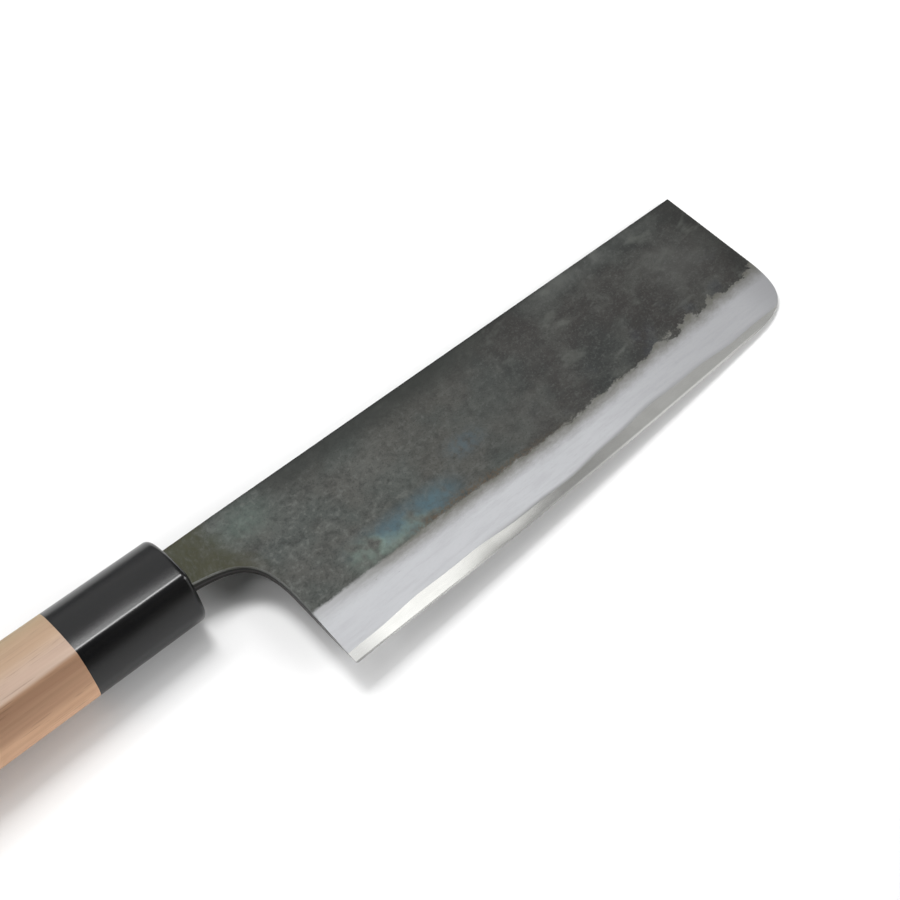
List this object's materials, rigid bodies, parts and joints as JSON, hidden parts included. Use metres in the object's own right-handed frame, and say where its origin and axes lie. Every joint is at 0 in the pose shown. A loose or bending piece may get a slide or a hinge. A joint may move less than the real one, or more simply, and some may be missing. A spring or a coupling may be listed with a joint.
{
  "type": "nakiri knife",
  "caption": "Vegetable knife: a square-fronted layered blade with black scale above a wide ground bevel, on a D-shaped wooden handle with a black ferrule.",
  "frame": {"origin": "on the flat end face of the handle, on the axis of the handle's oval", "axes": "+X along the handle to the front of the blade, +Y towards the spine, +Z out of the blade's right face; the knife lies on its left side"},
  "size_m": [0.3166, 0.0586, 0.0218],
  "materials": {
    "clad_iron": "black forge scale on the flats, satin on the bevel",
    "core_steel": "polished edge",
    "black_ferrule": "satin-polished black",
    "walnut": "bare oiled wood",
    "resin": "hardened resin"
  },
  "bodies": {
    "root": {"core_steel": "core_steel", "right_cladding": "clad_iron", "left_cladding": "clad_iron", "ferrule": "black_ferrule", "handle": "walnut", "tang_bedding": "resin"}
  },
  "joints": []
}
